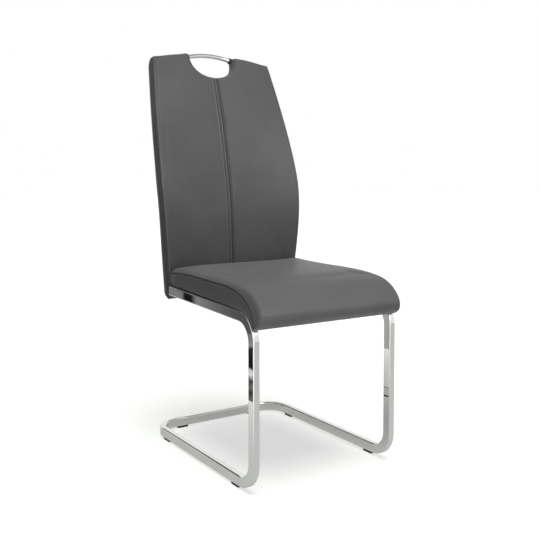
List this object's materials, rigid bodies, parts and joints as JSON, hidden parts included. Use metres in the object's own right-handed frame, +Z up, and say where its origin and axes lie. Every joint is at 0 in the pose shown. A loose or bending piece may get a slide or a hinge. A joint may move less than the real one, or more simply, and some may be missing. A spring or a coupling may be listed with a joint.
{
  "type": "dining_chair",
  "caption": "Upholstered cantilever dining chair: grey leather seat and high padded back with a chrome grip bar, on a bent chromed flat-tube frame.",
  "frame": {"origin": "bottom centre of the bounding box, on the floor", "axes": "+Z up, the longest extent; +Y from the front of the seat to the back; +X across the chair, the shortest extent"},
  "size_m": [0.4234, 0.6021, 1.0344],
  "materials": {
    "chrome": "polished",
    "black_steel": "satin",
    "zinc_steel": "satin",
    "black_plastic": "matte",
    "grey_leather": "satin",
    "plywood": "matte",
    "seat_padding": "matte",
    "back_padding": "matte",
    "dust_cloth": "matte"
  },
  "bodies": {
    "root": {"frame_tube": "chrome", "rail_end_plugs": "black_plastic", "floor_glides": "black_plastic", "front_strap": "black_steel", "rear_strap": "black_steel", "left_back_bracket": "black_steel", "right_back_bracket": "black_steel", "seat_bolts": "zinc_steel", "seat_washers": "zinc_steel", "seat_tee_nuts": "zinc_steel", "rail_screws": "zinc_steel", "seat_board": "plywood", "seat_foam": "seat_padding", "seat_cover": "grey_leather", "seat_dust_cover": "dust_cloth", "back_panel": "plywood", "back_front_foam": "back_padding", "back_rear_foam": "back_padding", "back_cover": "grey_leather", "back_base_cloth": "dust_cloth", "back_bolts": "zinc_steel", "back_washers": "zinc_steel", "back_tee_nuts": "zinc_steel", "handle_bar": "chrome", "handle_ferrules": "black_plastic", "handle_blocks": "plywood", "handle_screws": "zinc_steel"}
  },
  "joints": []
}
